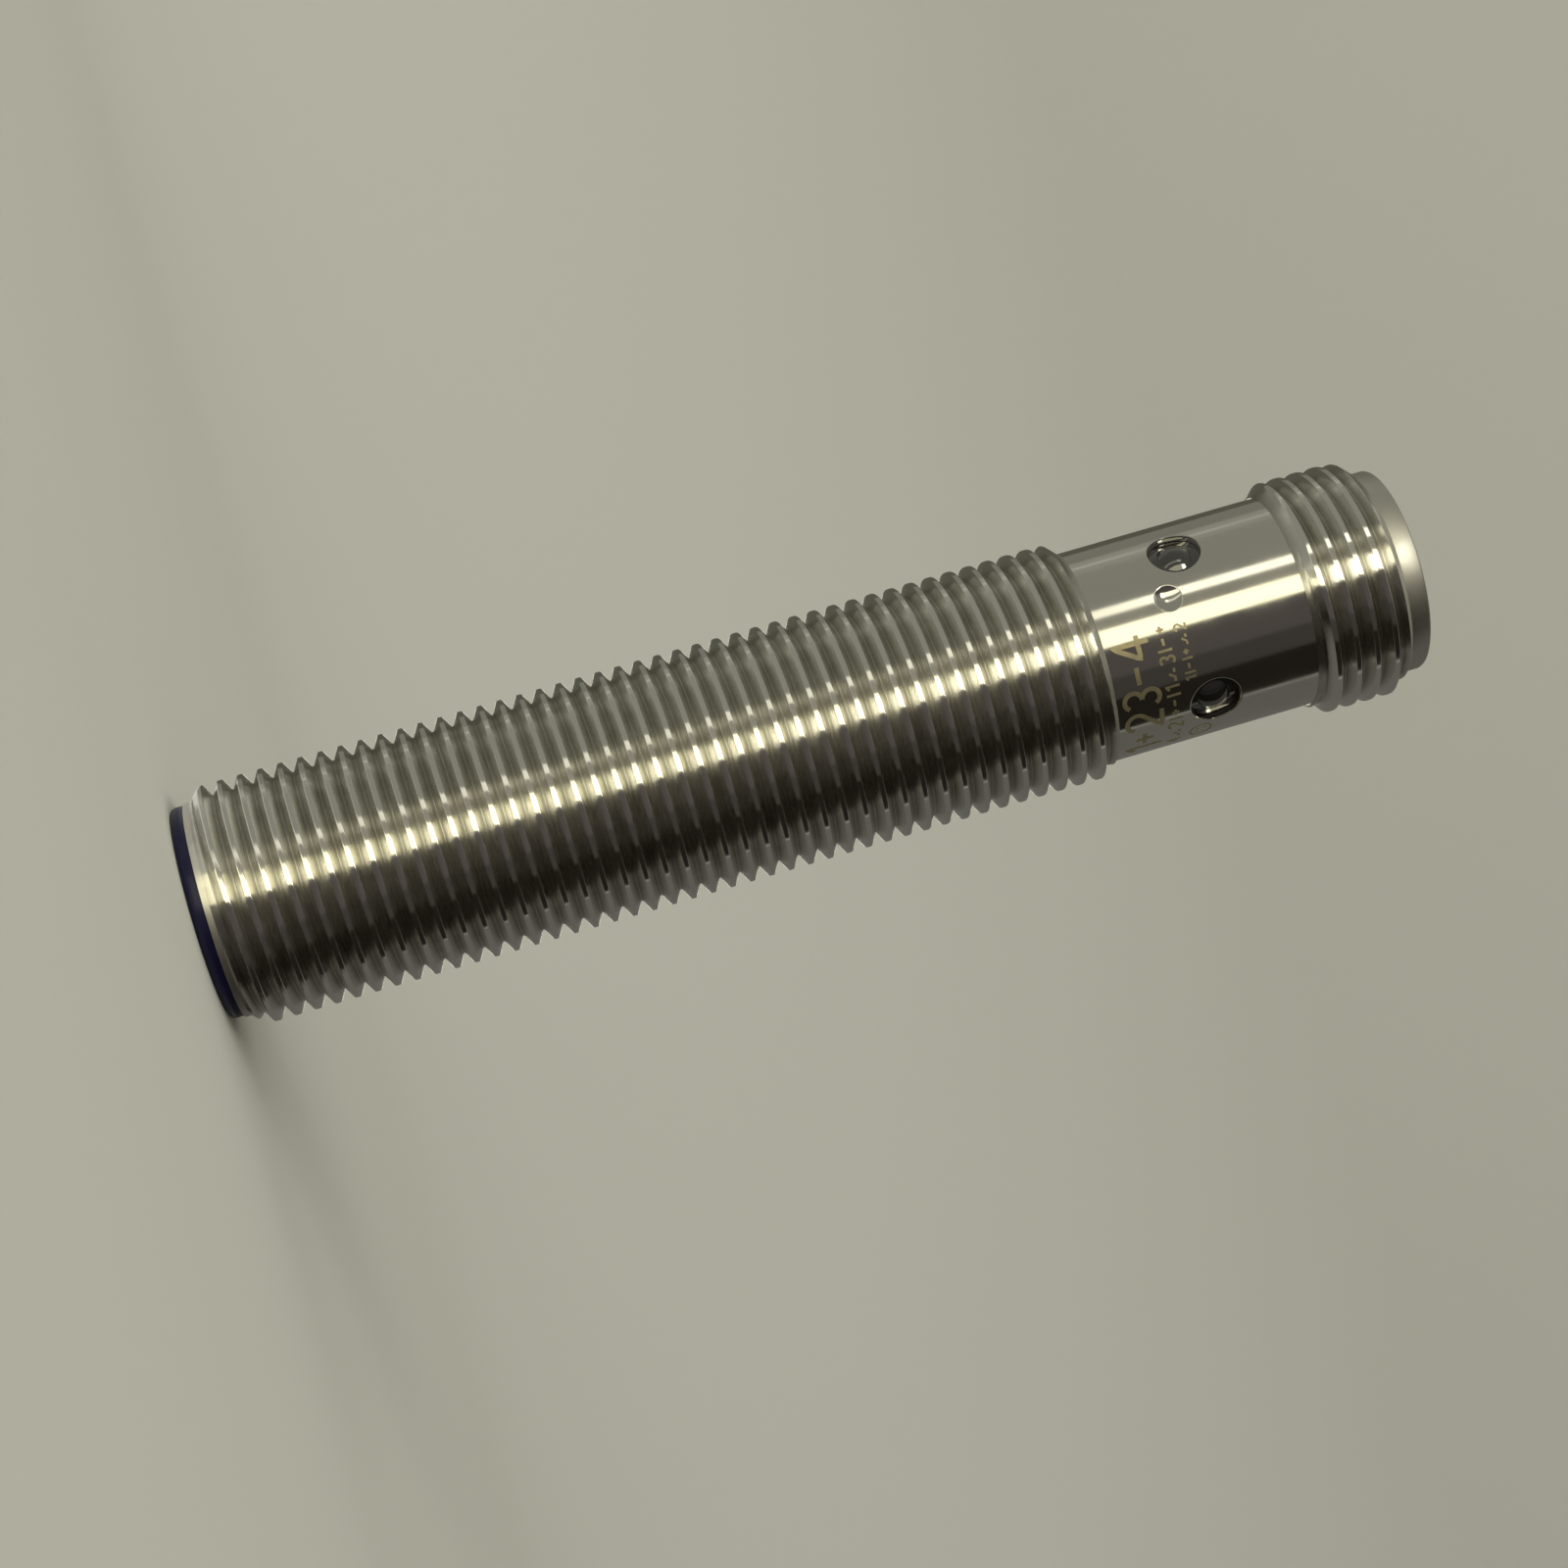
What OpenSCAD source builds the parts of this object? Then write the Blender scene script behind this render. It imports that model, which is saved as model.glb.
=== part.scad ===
// Cylindrical inductive proximity sensor with an M12 plug connector.
// It stands on its sensing face: +Z runs along the barrel to the connector.
// All sizes are in millimetres.

/* [Threads] */
// Outer diameter of the fastening thread and of the connector thread
thread_d = 12; // [11.6:0.1:14]
// Length of the fastening thread, from the sleeve's front edge to the collar
body_thread_l = 44.4; // [40:0.1:60]
// Length of the connector thread
connector_thread_l = 4.9; // [4:0.1:6]
// Leg of the 45 degree chamfer at each end of a thread
thread_chamfer = 0.6; // [0.3:0.05:0.7]
// Width of the plain land in front of the fastening thread
front_land_l = 0.3; // [0.1:0.05:0.6]

/* [Sleeve] */
// Wall from the bore of the electronics to the outside of the thread
sleeve_wall = 1; // [0.9:0.05:1.2]
// How far the smooth collar lies below the outside of the thread
collar_step = 0.65; // [0.5:0.05:0.7]
// Length of the collar
collar_l = 10.3; // [9:0.1:14]
// How far the smooth lead-in lies below the outside of the thread
lead_in_step = 0.85; // [0.6:0.05:1]
// Length of the lead-in
lead_in_l = 1.1; // [0.5:0.05:1.5]
// Chamfer on the lead-in's edge
lead_in_chamfer = 0.15; // [0.05:0.05:0.25]
// Width of the shoulder in the bore that the contact carrier sits on
shoulder_w = 0.3; // [0.2:0.05:0.4]
// Depth of that shoulder below the connector end
shoulder_depth = 7.8; // [7:0.1:8.4]
// Chamfer inside the mouth of the connector end
mouth_chamfer = 0.2; // [0.1:0.05:0.25]
// Radius of the crimp mark that locks the sleeve to the ring inside it
crimp_r = 0.55; // [0.4:0.05:0.7]
// Depth of the crimp mark
crimp_depth = 0.14; // [0.1:0.02:0.2]
// Angle of the crimp mark round the barrel
crimp_angle = 252; // [230:1:300]
// Distance of the crimp mark from the end of the fastening thread
crimp_to_thread = 3.8; // [3:0.1:5]

/* [Windows] */
// Diameter of each light window
window_d = 2.6; // [1.8:0.05:2.8]
// Number of windows round the collar
window_count = 4; // [2:1:4]
// How far the top of a light guide lens stays below the collar's surface
window_recess = 0.05; // [0.02:0.01:0.15]

/* [Sensing face] */
// Thickness of the cap's rim in front of the sleeve
cap_show = 0.7; // [0.5:0.05:1.2]
// How far the cap's rim lies below the outside of the thread
cap_rim_step = 0.7; // [0.6:0.05:0.8]
// Rounding of the cap's front edge
cap_edge_r = 0.25; // [0.1:0.05:0.4]
// Thickness of the sensing face
cap_face_t = 0.6; // [0.4:0.05:1]
// Wall of the cap's skirt
cap_wall = 0.45; // [0.3:0.05:0.6]
// How deep the skirt reaches into the sleeve
cap_skirt_l = 8; // [6:0.1:12]

/* [Coil] */
// Wall of the metal ring round the core
shield_wall = 0.2; // [0.1:0.05:0.3]
// Length of that ring
shield_l = 5; // [4.4:0.1:5.5]
// Height of the pot core
core_h = 3.6; // [3:0.1:4.2]
// Thickness of the core's back
core_back_t = 1.2; // [0.8:0.1:1.4]
// Wall of the core
core_wall = 0.9; // [0.6:0.05:1]
// Width of the ring-shaped space in the core that takes the coil
coil_space_w = 1.6; // [1.3:0.05:1.9]
// Wall of the bobbin's tube and flanges
bobbin_wall = 0.25; // [0.15:0.05:0.35]
// Diameter of a coil lead
lead_d = 0.25; // [0.15:0.05:0.35]
// Length of a lead on the board
lead_on_board = 1.6; // [1:0.1:2.5]

/* [Boards] */
// Thickness of the long board
board_t = 0.8; // [0.6:0.1:1]
// Thickness of the round board behind the contacts
connector_board_t = 0.8; // [0.6:0.1:1]
// Gap between the long board's edges and the ring round the core
board_side_gap = 0.3; // [0.2:0.05:0.6]
// Gap round the round board
connector_board_gap = 0.15; // [0.1:0.05:0.25]
// Width of each tab of the long board
tab_w = 1.2; // [0.8:0.1:1.5]
// Distance of each tab's middle from the board's edge
tab_edge = 1; // [0.8:0.05:1.3]

/* [Connector] */
// Diameter of the circle that the contacts stand on
contact_circle_d = 5; // [4.8:0.05:5.2]
// Number of contacts
contact_count = 4; // [3:1:4]
// Diameter of a contact
contact_d = 1; // [0.8:0.05:1.1]
// Diameter of the collar that holds a contact in the carrier
contact_collar_d = 1.5; // [1.3:0.05:1.7]
// Length of that collar
contact_collar_l = 1.2; // [0.8:0.1:1.6]
// Diameter of a contact's solder tail
contact_tail_d = 0.7; // [0.5:0.05:0.75]
// How far a solder tail stands through the round board
contact_tail_l = 0.4; // [0.2:0.05:0.8]
// How far the contact tips stay below the connector end
contact_tip_depth = 1; // [0.6:0.05:2]
// Wall of the socket's lining
lining_wall = 0.43; // [0.3:0.01:0.5]
// How far the socket's floor lies below the sleeve's shoulder
floor_drop = 0.4; // [0.2:0.05:0.6]
// How far the socket's lining stays below the connector end
lining_depth = 0.5; // [0.35:0.05:1]
// Width of the coding key
key_w = 1.5; // [1:0.05:1.8]
// How far the coding key stands in from the lining
key_h = 0.65; // [0.4:0.05:0.8]
// How far the coding key stays below the lining's rim
key_drop = 0.6; // [0.3:0.05:1]
// Thickness of the carrier's flange, which sits on the sleeve's shoulder
flange_t = 1; // [0.8:0.05:1.4]
// Gap between the carrier's plug and the round board
plug_gap = 0.3; // [0.2:0.05:0.5]

/* [Light guide] */
// Wall of the light guide ring
guide_wall = 1; // [0.9:0.05:1.1]
// Length of the light guide ring
guide_l = 6; // [5.5:0.1:7]
// Height of its lenses, and so of the windows, above its front end
lens_height = 3.5; // [3:0.1:3.9]
// Width of the slit that lets the ring spring into the sleeve
guide_slit_w = 1.2; // [0.8:0.1:1.6]
// Length of a light chip round the ring
led_w = 1; // [0.8:0.05:1.2]
// Depth of a light chip across the ring
led_d = 0.5; // [0.4:0.05:0.6]
// Height of a light chip
led_h = 0.4; // [0.3:0.05:0.6]
// Clearance round a light chip in the ring
led_gap = 0.1; // [0.05:0.05:0.15]

/* [Fits] */
// Radial gap between round pieces that slide into each other
fit_gap = 0.02; // [0.01:0.01:0.04]
// Gap round a lead, tail or tab in its hole
hole_gap = 0.05; // [0.02:0.01:0.08]

/* [Chips] */
// Length of the sensor chip along the barrel
ic_l = 4.9; // [4:0.1:6]
// Width of the sensor chip's body
ic_w = 3.9; // [3:0.1:4.2]
// Height of the sensor chip
ic_h = 1.4; // [1:0.1:1.8]
// Distance of the sensor chip from the board's front end
ic_at = 12.4; // [10:0.1:13]
// Length of the output transistor
transistor_l = 2.9; // [2.5:0.1:3.2]
// Width of the output transistor's body
transistor_w = 1.3; // [1.1:0.1:1.6]
// Height of the output transistor
transistor_h = 1; // [0.8:0.1:1.2]
// Distance of the output transistor from the board's front end
transistor_at = 24; // [20:0.1:25]
// Length of the supply diode
diode_l = 2.5; // [2:0.1:3]
// Width of the supply diode
diode_w = 1.3; // [1:0.1:1.6]
// Height of the supply diode
diode_h = 1; // [0.8:0.1:1.2]
// Distance of the supply diode from the board's front end
diode_at = 31; // [28:0.1:34]
// Length of the surge diode
surge_l = 4.3; // [3.5:0.1:4.6]
// Width of the surge diode
surge_w = 2.6; // [2:0.1:3]
// Height of the surge diode
surge_h = 2; // [1.6:0.1:2.2]
// Distance of the surge diode from the board's front end
surge_at = 30; // [28.5:0.1:33]
// Length of a resistor
resistor_l = 1.6; // [1:0.1:2]
// Width of a resistor
resistor_w = 0.8; // [0.5:0.1:1.2]
// Height of a resistor
resistor_h = 0.5; // [0.4:0.05:0.6]
// Distance of the trimming resistor from the board's front end
trim_at = 6.6; // [5:0.1:8]
// Distance of the pull resistor from the board's front end
pull_at = 18; // [17:0.1:19]
// Length of a capacitor
capacitor_l = 2; // [1.6:0.1:2.4]
// Width of a capacitor
capacitor_w = 1.25; // [0.8:0.05:1.6]
// Height of a capacitor
capacitor_h = 1.2; // [0.8:0.1:1.4]
// Distance of the supply capacitor from the board's front end
supply_at = 22; // [21:0.1:26]
// Distance of the timing capacitor from the board's front end
timing_at = 5; // [4:0.1:8]
// Distance of the filter capacitor from the board's front end
filter_at = 15.6; // [10:0.1:18]

/* [Hidden] */
CONTACT_NODES = [for (i = [1:contact_count]) str("contact_pin_", i)];
LED_NODES = [for (i = [1:window_count]) str("led_", i)];
$fn = 96;
// Smallest overlap that makes a cut run clean through a face
cut = 0.01;

// Heights along the barrel
sleeve_z = cap_show;
collar_z = sleeve_z + body_thread_l;
connector_thread_z = collar_z + collar_l;
lead_in_z = connector_thread_z + connector_thread_l;
end_z = lead_in_z + lead_in_l;
shoulder_z = end_z - shoulder_depth;
flange_z = shoulder_z - flange_t;
guide_z = flange_z - guide_l;
window_z = guide_z + lens_height;
crimp_z = collar_z + crimp_to_thread;
connector_board_z = guide_z - connector_board_t;
socket_floor_z = shoulder_z - floor_drop;
lining_rim_z = end_z - lining_depth;
contact_tip_z = end_z - contact_tip_depth;
plug_z = guide_z + plug_gap;
core_z = cap_face_t;
core_floor_z = core_z + core_h - core_back_t;
core_end_z = core_z + core_h;
skirt_end_z = sleeve_z + cap_skirt_l;
shield_end_z = core_z + shield_l;

// Diameters of the sleeve
bore_d = thread_d - 2 * sleeve_wall;
collar_d = thread_d - 2 * collar_step;
lead_in_d = thread_d - 2 * lead_in_step;
cap_rim_d = thread_d - 2 * cap_rim_step;
socket_bore_d = bore_d - 2 * shoulder_w;

// Diameters of what nests inside the sleeve
skirt_d = bore_d - 2 * fit_gap;
skirt_inner_d = skirt_d - 2 * cap_wall;
shield_d = skirt_inner_d - 2 * fit_gap;
shield_inner_d = shield_d - 2 * shield_wall;
core_d = shield_inner_d - 2 * fit_gap;
core_window_d = core_d - 2 * core_wall;
core_post_d = core_window_d - 2 * coil_space_w;
bobbin_bore_d = core_post_d + 2 * fit_gap;
bobbin_tube_d = bobbin_bore_d + 2 * bobbin_wall;
bobbin_d = core_window_d - 2 * hole_gap;
bobbin_h = core_floor_z - core_z - hole_gap;
winding_h = bobbin_h - 2 * bobbin_wall;
winding_d = bobbin_d - 2 * bobbin_wall;
guide_d = bore_d - 2 * fit_gap;
guide_inner_d = guide_d - 2 * guide_wall;
plug_d = guide_inner_d - 2 * fit_gap;
flange_d = bore_d - 2 * fit_gap;
lining_d = socket_bore_d - 2 * fit_gap;
socket_d = lining_d - 2 * lining_wall;

// The long board and the leads on it
board_w = shield_inner_d - 2 * board_side_gap;
board_l = connector_board_z - core_end_z;
tab_x = board_w / 2 - tab_edge;
lead_x = (bobbin_tube_d + winding_d) / 4;
lead_y = board_t / 2 + lead_d / 2;
winding_end_z = core_floor_z - bobbin_wall;
lead_l = core_end_z + lead_on_board - winding_end_z;

// Angles round the barrel: windows and contacts stand between the X and Y axes
first_angle = 45;
window_step = 360 / window_count;
contact_step = 360 / contact_count;
key_angle = first_angle + contact_step / 2;
slit_angle = first_angle + window_step / 2;
led_r = (guide_inner_d + guide_d) / 4;

// Gull-wing leg of a chip
leg_w = 0.4;
leg_t = 0.2;
leg_reach = 0.9;
leg_pitch = 1.27;
// Metal end cap of a resistor, capacitor or diode
terminal_l = 0.35;
terminal_t = 0.05;

// A solid of revolution from a profile of radius and height
module turned(profile) {
    rotate_extrude() polygon(profile);
}

// A round tube standing on the height z
module tube(outer_d, inner_d, z, h) {
    translate([0, 0, z]) difference() {
        cylinder(d = outer_d, h = h);
        translate([0, 0, -cut]) cylinder(d = inner_d, h = h + 2 * cut);
    }
}

// Puts a chip on the board: side is 1 for the front face and -1 for the back
module on_board(side, at) {
    translate([0, side * board_t / 2, core_end_z + at])
        rotate([-90 * side, 0, 0])
            children();
}

// A cylinder that runs out from the axis at the given angle
module spoke(angle, d, from_r, to_r) {
    rotate([0, 0, angle]) translate([from_r, 0, 0]) rotate([0, 90, 0]) cylinder(d = d, h = to_r - from_r);
}

// The sleeve: both threads are full cylinders at their outer diameter
module housing() {
    thread_r = thread_d / 2;
    root_r = thread_r - thread_chamfer;
    collar_r = collar_d / 2;
    lead_in_r = lead_in_d / 2;
    color("silver") difference() {
        turned([
            [0, sleeve_z],
            [root_r, sleeve_z],
            [root_r, sleeve_z + front_land_l],
            [thread_r, sleeve_z + front_land_l + thread_chamfer],
            [thread_r, collar_z - thread_chamfer],
            [root_r, collar_z],
            [collar_r, collar_z],
            [collar_r, connector_thread_z],
            [root_r, connector_thread_z],
            [thread_r, connector_thread_z + thread_chamfer],
            [thread_r, lead_in_z - thread_chamfer],
            [root_r, lead_in_z],
            [lead_in_r, lead_in_z],
            [lead_in_r, end_z - lead_in_chamfer],
            [lead_in_r - lead_in_chamfer, end_z],
            [0, end_z]
        ]);
        sleeve_bore();
        crimp_mark();
        for (i = [0:window_count - 1])
            translate([0, 0, window_z])
                spoke(first_angle + i * window_step, window_d, bore_d / 4, thread_d);
    }
}

// The stepped bore of the sleeve, with the chamfer of its mouth
module sleeve_bore() {
    socket_r = socket_bore_d / 2;
    turned([
        [0, sleeve_z - cut],
        [bore_d / 2, sleeve_z - cut],
        [bore_d / 2, shoulder_z],
        [socket_r, shoulder_z],
        [socket_r, end_z - mouth_chamfer],
        [socket_r + mouth_chamfer + cut, end_z + cut],
        [0, end_z + cut]
    ]);
}

// A shallow round dent in the collar, cut by a ball
module crimp_mark() {
    ball_r = (crimp_r * crimp_r + crimp_depth * crimp_depth) / (2 * crimp_depth);
    rotate([0, 0, crimp_angle])
        translate([collar_d / 2 - crimp_depth + ball_r, 0, crimp_z])
            sphere(r = ball_r);
}

// The cup that closes the front: a rim on the sleeve's edge and a skirt inside
module sensing_face_cap() {
    rim_r = cap_rim_d / 2;
    color("midnightblue") difference() {
        rotate_extrude() {
            difference() {
                square([rim_r, cap_show]);
                translate([rim_r - cap_edge_r, 0]) square([cap_edge_r, cap_edge_r]);
            }
            translate([rim_r - cap_edge_r, cap_edge_r]) intersection() {
                circle(r = cap_edge_r);
                translate([0, -cap_edge_r]) square(cap_edge_r);
            }
            square([skirt_d / 2, skirt_end_z]);
        }
        translate([0, 0, cap_face_t]) cylinder(d = skirt_inner_d, h = end_z);
    }
}

module shield_ring() {
    color("goldenrod") tube(shield_d, shield_inner_d, core_z, shield_l);
}

// Half a pot core: its window opens towards the sensing face
module ferrite_core() {
    color("dimgray") difference() {
        translate([0, 0, core_z]) cylinder(d = core_d, h = core_h);
        tube(core_window_d, core_post_d, core_z - cut, core_floor_z - core_z + cut);
        for (side = [-1, 1])
            translate([side * lead_x, lead_y, core_z])
                cylinder(d = lead_d + 2 * hole_gap, h = core_h + cut);
    }
}

module coil_bobbin() {
    flange_front_z = core_floor_z - bobbin_h;
    color("ivory") difference() {
        union() {
            tube(bobbin_tube_d, bobbin_bore_d, flange_front_z, bobbin_h);
            tube(bobbin_d, bobbin_bore_d, flange_front_z, bobbin_wall);
            tube(bobbin_d, bobbin_bore_d, core_floor_z - bobbin_wall, bobbin_wall);
        }
        for (side = [-1, 1])
            translate([side * lead_x, lead_y, winding_end_z - cut])
                cylinder(d = lead_d + 2 * hole_gap, h = bobbin_wall + 2 * cut);
    }
}

module coil_winding() {
    color("peru") tube(winding_d, bobbin_tube_d, winding_end_z - winding_h, winding_h);
}

// A lead runs straight from the winding through the core to its pad on the board
module coil_lead(side) {
    color("chocolate") translate([side * lead_x, lead_y, winding_end_z]) cylinder(d = lead_d, h = lead_l);
}

// The long board, with two tabs that plug into the round board
module circuit_board() {
    color("darkgreen") {
        translate([-board_w / 2, -board_t / 2, core_end_z]) cube([board_w, board_t, board_l]);
        for (side = [-1, 1])
            translate([side * tab_x - tab_w / 2, -board_t / 2, connector_board_z - cut])
                cube([tab_w, board_t, connector_board_t + cut]);
    }
}

// A moulded chip body whose lower and upper halves are drafted
module chip_body(l, w, h) {
    draft = h / 10;
    rotate([90, 0, 90]) translate([0, 0, -l / 2]) linear_extrude(height = l) polygon([
        [-w / 2 + draft, leg_t / 2],
        [w / 2 - draft, leg_t / 2],
        [w / 2, h / 2],
        [w / 2 - draft, h],
        [-w / 2 + draft, h],
        [-w / 2, h / 2]
    ]);
}

// A bent leg that reaches out along +Y from a chip's side and down to the board
module gull_leg(w, h) {
    rotate([90, 0, 90]) translate([w / 2, 0, -leg_w / 2]) linear_extrude(height = leg_w) polygon([
        [-leg_reach / 2, h / 2 - leg_t / 2],
        [leg_reach / 2, h / 2 - leg_t / 2],
        [leg_reach / 2, 0],
        [leg_reach, 0],
        [leg_reach, leg_t],
        [leg_reach / 2 + leg_t, leg_t],
        [leg_reach / 2 + leg_t, h / 2 + leg_t / 2],
        [-leg_reach / 2, h / 2 + leg_t / 2]
    ]);
}

// A chip with legs on both sides; its length lies along the barrel
module legged_chip(l, w, h, right_legs, left_legs) {
    rotate([0, 0, 90]) {
        chip_body(l, w, h);
        for (x = right_legs)
            translate([x, 0, 0]) gull_leg(w, h);
        for (x = left_legs)
            translate([x, 0, 0]) rotate([0, 0, 180]) gull_leg(w, h);
    }
}

// A two-ended chip with metal caps wrapped round its ends
module capped_chip(l, w, h) {
    rotate([0, 0, 90]) {
        translate([-l / 2, -w / 2, terminal_t])
            cube([l, w, h - 2 * terminal_t]);
        for (side = [-1, 1])
            translate([side * (l - terminal_l) / 2 - terminal_l / 2, -w / 2 - terminal_t, 0])
                cube([terminal_l, w + 2 * terminal_t, h]);
    }
}

module sensor_ic() {
    legs = [for (i = [-1.5:1:1.5]) i * leg_pitch];
    color("black") on_board(1, ic_at) legged_chip(ic_l, ic_w, ic_h, legs, legs);
}

module output_transistor() {
    pair = [-transistor_l / 3, transistor_l / 3];
    color("black") on_board(-1, transistor_at)
        legged_chip(transistor_l, transistor_w, transistor_h, pair, [0]);
}

module supply_diode() {
    color("black") on_board(1, diode_at) capped_chip(diode_l, diode_w, diode_h);
}

module surge_diode() {
    color("black") on_board(-1, surge_at) capped_chip(surge_l, surge_w, surge_h);
}

module trim_resistor() {
    color("black") on_board(1, trim_at) capped_chip(resistor_l, resistor_w, resistor_h);
}

module pull_resistor() {
    color("black") on_board(1, pull_at) capped_chip(resistor_l, resistor_w, resistor_h);
}

module supply_capacitor() {
    color("tan") on_board(1, supply_at) capped_chip(capacitor_l, capacitor_w, capacitor_h);
}

module timing_capacitor() {
    color("tan") on_board(-1, timing_at) capped_chip(capacitor_l, capacitor_w, capacitor_h);
}

module filter_capacitor() {
    color("tan") on_board(-1, filter_at) capped_chip(capacitor_l, capacitor_w, capacitor_h);
}

// The round board: holes for the solder tails and slots for the long board's tabs
module connector_board() {
    slot_w = tab_w + 2 * hole_gap;
    slot_t = board_t + 2 * hole_gap;
    color("darkgreen") difference() {
        translate([0, 0, connector_board_z])
            cylinder(d = bore_d - 2 * connector_board_gap, h = connector_board_t);
        for (i = [0:contact_count - 1])
            rotate([0, 0, first_angle + i * contact_step])
                translate([contact_circle_d / 2, 0, connector_board_z - cut])
                    cylinder(d = contact_tail_d + 2 * hole_gap, h = connector_board_t + 2 * cut);
        for (side = [-1, 1])
            translate([side * tab_x - slot_w / 2, -slot_t / 2, connector_board_z - cut])
                cube([slot_w, slot_t, connector_board_t + 2 * cut]);
    }
}

// A light chip on the round board, under one window
module led(i) {
    color("lemonchiffon")
        rotate([0, 0, first_angle + i * window_step])
            translate([led_r - led_d / 2, -led_w / 2, guide_z])
                cube([led_d, led_w, led_h]);
}

// The ring that carries the light: a ball-shaped lens stands in each window
module light_guide_ring() {
    lens_r = window_d / 2 - hole_gap;
    lens_top = collar_d / 2 - window_recess;
    color("lightyellow") difference() {
        union() {
            translate([0, 0, guide_z]) cylinder(d = guide_d, h = guide_l);
            for (i = [0:window_count - 1])
                rotate([0, 0, first_angle + i * window_step])
                    translate([lens_top - lens_r, 0, window_z])
                        sphere(r = lens_r);
        }
        translate([0, 0, guide_z - cut]) cylinder(d = guide_inner_d, h = guide_l + 2 * cut);
        rotate([0, 0, slit_angle])
            translate([0, -guide_slit_w / 2, guide_z - cut])
                cube([bore_d, guide_slit_w, guide_l + 2 * cut]);
        for (i = [0:window_count - 1])
            rotate([0, 0, first_angle + i * window_step])
                translate([0, -led_w / 2 - led_gap, guide_z - cut])
                    cube([led_r + led_d / 2 + led_gap, led_w + 2 * led_gap, led_h + led_gap + cut]);
    }
}

// The contact carrier: plug, flange, socket lining and coding key in one moulding
module contact_carrier() {
    socket_r = socket_d / 2;
    key_l = lining_rim_z - key_drop - socket_floor_z;
    color("darkslategray") difference() {
        union() {
            turned([
                [0, plug_z],
                [plug_d / 2, plug_z],
                [plug_d / 2, flange_z],
                [flange_d / 2, flange_z],
                [flange_d / 2, shoulder_z],
                [lining_d / 2, shoulder_z],
                [lining_d / 2, lining_rim_z],
                [socket_r, lining_rim_z],
                [socket_r, socket_floor_z],
                [0, socket_floor_z]
            ]);
            rotate([0, 0, key_angle])
                translate([socket_r - key_h, -key_w / 2, socket_floor_z - cut])
                    cube([key_h + (lining_d - socket_d) / 4, key_w, key_l + cut]);
        }
        for (i = [0:contact_count - 1]) contact_shape(i);
    }
}

// A turned contact: solder tail, holding collar and round tip
module contact_shape(i) {
    tail_r = contact_tail_d / 2;
    pin_r = contact_d / 2;
    hold_r = contact_collar_d / 2;
    hold_z = (plug_z + socket_floor_z - contact_collar_l) / 2;
    tail_z = connector_board_z - contact_tail_l;
    rotate([0, 0, first_angle + i * contact_step])
        translate([contact_circle_d / 2, 0, 0]) {
            turned([
                [0, tail_z],
                [tail_r, tail_z],
                [tail_r, plug_z],
                [pin_r, plug_z],
                [pin_r, hold_z],
                [hold_r, hold_z],
                [hold_r, hold_z + contact_collar_l],
                [pin_r, hold_z + contact_collar_l],
                [pin_r, contact_tip_z - pin_r],
                [0, contact_tip_z - pin_r]
            ]);
            translate([0, 0, contact_tip_z - pin_r]) sphere(r = pin_r);
        }
}

module contact_pin(i) {
    color("gold") contact_shape(i);
}

// The resin fills the sleeve from the core's back to the round board
module potting_resin() {
    color("saddlebrown") difference() {
        turned([
            [0, core_end_z],
            [shield_inner_d / 2, core_end_z],
            [shield_inner_d / 2, shield_end_z],
            [skirt_inner_d / 2, shield_end_z],
            [skirt_inner_d / 2, skirt_end_z],
            [skirt_d / 2, skirt_end_z],
            [skirt_d / 2, connector_board_z],
            [0, connector_board_z]
        ]);
        circuit_board();
        board_chips();
        coil_lead(-1);
        coil_lead(1);
        for (i = [0:contact_count - 1]) contact_shape(i);
    }
}

// Everything soldered to the long board
module board_chips() {
    sensor_ic();
    output_transistor();
    supply_diode();
    surge_diode();
    trim_resistor();
    pull_resistor();
    supply_capacitor();
    timing_capacitor();
    filter_capacitor();
}

housing();
sensing_face_cap();
shield_ring();
ferrite_core();
coil_bobbin();
coil_winding();
coil_lead(-1);  // coil_lead_a
coil_lead(1);  // coil_lead_b
circuit_board();
sensor_ic();
output_transistor();
supply_diode();
surge_diode();
trim_resistor();
pull_resistor();
supply_capacitor();
timing_capacitor();
filter_capacitor();
connector_board();
for (i = [1:window_count])
    led(i - 1);
light_guide_ring();
contact_carrier();
for (i = [1:contact_count])
    contact_pin(i - 1);
potting_resin();
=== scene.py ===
import math

import bmesh
import bpy
import numpy as np
from mathutils import Matrix, Vector


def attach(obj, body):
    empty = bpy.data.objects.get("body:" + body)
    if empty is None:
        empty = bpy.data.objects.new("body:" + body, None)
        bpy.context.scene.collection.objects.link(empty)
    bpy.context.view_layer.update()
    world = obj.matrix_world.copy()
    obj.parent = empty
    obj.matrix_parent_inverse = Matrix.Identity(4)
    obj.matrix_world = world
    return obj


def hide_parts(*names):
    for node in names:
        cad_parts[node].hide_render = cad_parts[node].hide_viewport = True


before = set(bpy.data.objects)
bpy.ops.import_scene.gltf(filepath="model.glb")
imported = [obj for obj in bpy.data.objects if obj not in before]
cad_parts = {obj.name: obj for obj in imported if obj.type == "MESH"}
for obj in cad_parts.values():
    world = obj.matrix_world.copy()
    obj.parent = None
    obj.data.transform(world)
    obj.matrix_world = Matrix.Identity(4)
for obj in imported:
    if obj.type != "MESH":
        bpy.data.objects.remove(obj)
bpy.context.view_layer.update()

MM = 0.001
TURN = 2 * math.pi

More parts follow.
